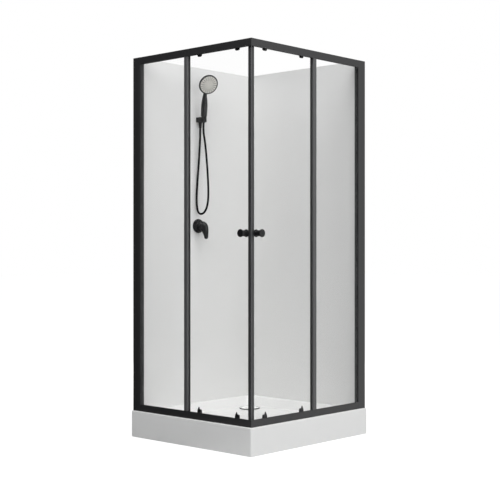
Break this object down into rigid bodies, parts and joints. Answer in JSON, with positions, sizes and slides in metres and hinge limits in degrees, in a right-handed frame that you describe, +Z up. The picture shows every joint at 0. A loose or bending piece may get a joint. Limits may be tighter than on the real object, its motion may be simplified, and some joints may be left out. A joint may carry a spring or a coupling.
{
  "type": "corner-entry shower enclosure",
  "caption": "Square corner-entry shower enclosure with sliding glass doors, low tray, two wall panels and a hand shower set.",
  "frame": {"origin": "on the floor under the tray's centre, which is the middle of the centre foot's underside", "axes": "+Z up; the entry corner is at +X -Y, the wall panels stand along -X and +Y"},
  "size_m": [0.916, 0.916, 2.03],
  "materials": {
    "tray_white": "gloss white",
    "steel": "galvanised",
    "black_metal": "satin black powder coat",
    "black_aluminium": "satin black powder coat",
    "pale_aluminium": "satin pale",
    "panel_white": "white acrylic sheet",
    "clear_glass": "clear tempered glass",
    "black_plastic": "moulded black",
    "grey_plastic": "warm light grey",
    "white_plastic": "moulded white",
    "seal_rubber": "soft black",
    "brass": "cast"
  },
  "bodies": {
    "cabin": {"shower_tray": "tray_white", "tray_support_frame": "steel", "waste_trap": "white_plastic", "left_wall_panel": "panel_white", "back_wall_panel": "panel_white", "back_corner_profile": "pale_aluminium", "left_wall_post": "black_aluminium", "right_wall_post": "black_aluminium", "left_top_rail": "black_aluminium", "right_top_rail": "black_aluminium", "left_bottom_rail": "black_aluminium", "right_bottom_rail": "black_aluminium", "corner_connectors": "black_plastic", "left_fixed_pane": "clear_glass", "right_fixed_pane": "clear_glass", "pane_profiles": "black_aluminium", "glazing_gaskets": "seal_rubber", "upright_seals": "seal_rubber", "door_stops": "black_plastic", "frame_screws": "steel", "mixer_body": "brass", "mixer_escutcheon": "black_metal", "mixer_cartridge": "white_plastic", "wall_outlet": "black_plastic", "riser_pipe": "steel", "hose": "seal_rubber", "hose_wall_nut": "black_plastic"},
    "waste_cover": {"waste_cover": "white_plastic"},
    "mixer_collar": {"mixer_collar": "black_metal"},
    "mixer_lever": {"mixer_lever": "black_metal"},
    "hand_shower": {"hand_shower_body": "black_plastic", "spray_plate": "grey_plastic", "hose_hand_nut": "black_plastic"},
    "left_door": {"left_door_pane": "clear_glass", "left_door_profiles": "black_aluminium", "left_door_magnet_seal": "seal_rubber", "left_door_knobs": "black_metal", "left_door_carriers": "black_plastic"},
    "left_upper_wheel_near": {"left_upper_wheel_near": "white_plastic"},
    "left_lower_wheel_near": {"left_lower_wheel_near": "white_plastic"},
    "left_release_slide_near": {"left_release_slide_near": "black_plastic"},
    "left_upper_wheel_far": {"left_upper_wheel_far": "white_plastic"},
    "left_lower_wheel_far": {"left_lower_wheel_far": "white_plastic"},
    "left_release_slide_far": {"left_release_slide_far": "black_plastic"},
    "right_door": {"right_door_pane": "clear_glass", "right_door_profiles": "black_aluminium", "right_door_magnet_seal": "seal_rubber", "right_door_knobs": "black_metal", "right_door_carriers": "black_plastic"},
    "right_upper_wheel_near": {"right_upper_wheel_near": "white_plastic"},
    "right_lower_wheel_near": {"right_lower_wheel_near": "white_plastic"},
    "right_release_slide_near": {"right_release_slide_near": "black_plastic"},
    "right_upper_wheel_far": {"right_upper_wheel_far": "white_plastic"},
    "right_lower_wheel_far": {"right_lower_wheel_far": "white_plastic"},
    "right_release_slide_far": {"right_release_slide_far": "black_plastic"},
    "levelling_foot_centre": {"levelling_foot_centre": "black_plastic"},
    "levelling_foot_front": {"levelling_foot_front": "black_plastic"},
    "levelling_foot_left": {"levelling_foot_left": "black_plastic"},
    "levelling_foot_right": {"levelling_foot_right": "black_plastic"},
    "levelling_foot_back": {"levelling_foot_back": "black_plastic"}
  },
  "joints": [
    {"name": "waste_cover_lift", "type": "slide", "parent": "cabin", "child": "waste_cover", "axis": [0, 0, 1], "range_m": [0, 0.04]},
    {"name": "mixer_temperature", "type": "hinge", "parent": "cabin", "child": "mixer_collar", "pos_m": [-0.384, 0, 1.136], "axis": [1, 0, 0], "range_deg": [-45, 45]},
    {"name": "mixer_flow", "type": "hinge", "parent": "mixer_collar", "child": "mixer_lever", "pos_m": [-0.384, 0, 1.136], "axis": [0, -1, 0], "range_deg": [0, 18]},
    {"name": "hand_shower_lift", "type": "slide", "parent": "cabin", "child": "hand_shower", "axis": [0.1, -0.0306, 0.9945], "range_m": [0, 0.08]},
    {"name": "left_door_slide", "type": "slide", "parent": "cabin", "child": "left_door", "axis": [-1, 0, 0], "range_m": [0, 0.34]},
    {"name": "left_upper_wheel_near_turn", "type": "hinge", "parent": "left_door", "child": "left_upper_wheel_near", "pos_m": [0.319, -0.4185, 2.01485], "axis": [0, 1, 0], "range_deg": [-2400, 2400]},
    {"name": "left_release_slide_near_press", "type": "slide", "parent": "left_door", "child": "left_release_slide_near", "axis": [0, 0, -1], "range_m": [0, 0.004], "stiffness_N_per_m": 800, "springref_m": -0.004},
    {"name": "left_lower_wheel_near_turn", "type": "hinge", "parent": "left_release_slide_near", "child": "left_lower_wheel_near", "pos_m": [0.319, -0.4185, 0.15435], "axis": [0, 1, 0], "range_deg": [-3400, 3400]},
    {"name": "left_upper_wheel_far_turn", "type": "hinge", "parent": "left_door", "child": "left_upper_wheel_far", "pos_m": [0.048, -0.4185, 2.01485], "axis": [0, 1, 0], "range_deg": [-2400, 2400]},
    {"name": "left_release_slide_far_press", "type": "slide", "parent": "left_door", "child": "left_release_slide_far", "axis": [0, 0, -1], "range_m": [0, 0.004], "stiffness_N_per_m": 800, "springref_m": -0.004},
    {"name": "left_lower_wheel_far_turn", "type": "hinge", "parent": "left_release_slide_far", "child": "left_lower_wheel_far", "pos_m": [0.048, -0.4185, 0.15435], "axis": [0, 1, 0], "range_deg": [-3400, 3400]},
    {"name": "right_door_slide", "type": "slide", "parent": "cabin", "child": "right_door", "axis": [0, 1, 0], "range_m": [0, 0.34]},
    {"name": "right_upper_wheel_near_turn", "type": "hinge", "parent": "right_door", "child": "right_upper_wheel_near", "pos_m": [0.4185, -0.319, 2.01485], "axis": [-1, 0, 0], "range_deg": [-2400, 2400]},
    {"name": "right_release_slide_near_press", "type": "slide", "parent": "right_door", "child": "right_release_slide_near", "axis": [0, 0, -1], "range_m": [0, 0.004], "stiffness_N_per_m": 800, "springref_m": -0.004},
    {"name": "right_lower_wheel_near_turn", "type": "hinge", "parent": "right_release_slide_near", "child": "right_lower_wheel_near", "pos_m": [0.4185, -0.319, 0.15435], "axis": [-1, 0, 0], "range_deg": [-3400, 3400]},
    {"name": "right_upper_wheel_far_turn", "type": "hinge", "parent": "right_door", "child": "right_upper_wheel_far", "pos_m": [0.4185, -0.048, 2.01485], "axis": [-1, 0, 0], "range_deg": [-2400, 2400]},
    {"name": "right_release_slide_far_press", "type": "slide", "parent": "right_door", "child": "right_release_slide_far", "axis": [0, 0, -1], "range_m": [0, 0.004], "stiffness_N_per_m": 800, "springref_m": -0.004},
    {"name": "right_lower_wheel_far_turn", "type": "hinge", "parent": "right_release_slide_far", "child": "right_lower_wheel_far", "pos_m": [0.4185, -0.048, 0.15435], "axis": [-1, 0, 0], "range_deg": [-3400, 3400]},
    {"name": "levelling_foot_centre_screw", "type": "slide", "parent": "cabin", "child": "levelling_foot_centre", "axis": [0, 0, -1], "range_m": [0, 0.02]},
    {"name": "levelling_foot_front_screw", "type": "slide", "parent": "cabin", "child": "levelling_foot_front", "axis": [0, 0, -1], "range_m": [0, 0.02]},
    {"name": "levelling_foot_left_screw", "type": "slide", "parent": "cabin", "child": "levelling_foot_left", "axis": [0, 0, -1], "range_m": [0, 0.02]},
    {"name": "levelling_foot_right_screw", "type": "slide", "parent": "cabin", "child": "levelling_foot_right", "axis": [0, 0, -1], "range_m": [0, 0.02]},
    {"name": "levelling_foot_back_screw", "type": "slide", "parent": "cabin", "child": "levelling_foot_back", "axis": [0, 0, -1], "range_m": [0, 0.02]}
  ],
  "couplings": [
    {"joint": "left_upper_wheel_near_turn", "follows": "left_door_slide", "rad_per_m": -116.28},
    {"joint": "left_lower_wheel_near_turn", "follows": "left_door_slide", "rad_per_m": 166.67},
    {"joint": "left_upper_wheel_far_turn", "follows": "left_door_slide", "rad_per_m": -116.28},
    {"joint": "left_lower_wheel_far_turn", "follows": "left_door_slide", "rad_per_m": 166.67},
    {"joint": "right_upper_wheel_near_turn", "follows": "right_door_slide", "rad_per_m": 116.28},
    {"joint": "right_lower_wheel_near_turn", "follows": "right_door_slide", "rad_per_m": -166.67},
    {"joint": "right_upper_wheel_far_turn", "follows": "right_door_slide", "rad_per_m": 116.28},
    {"joint": "right_lower_wheel_far_turn", "follows": "right_door_slide", "rad_per_m": -166.67}
  ]
}
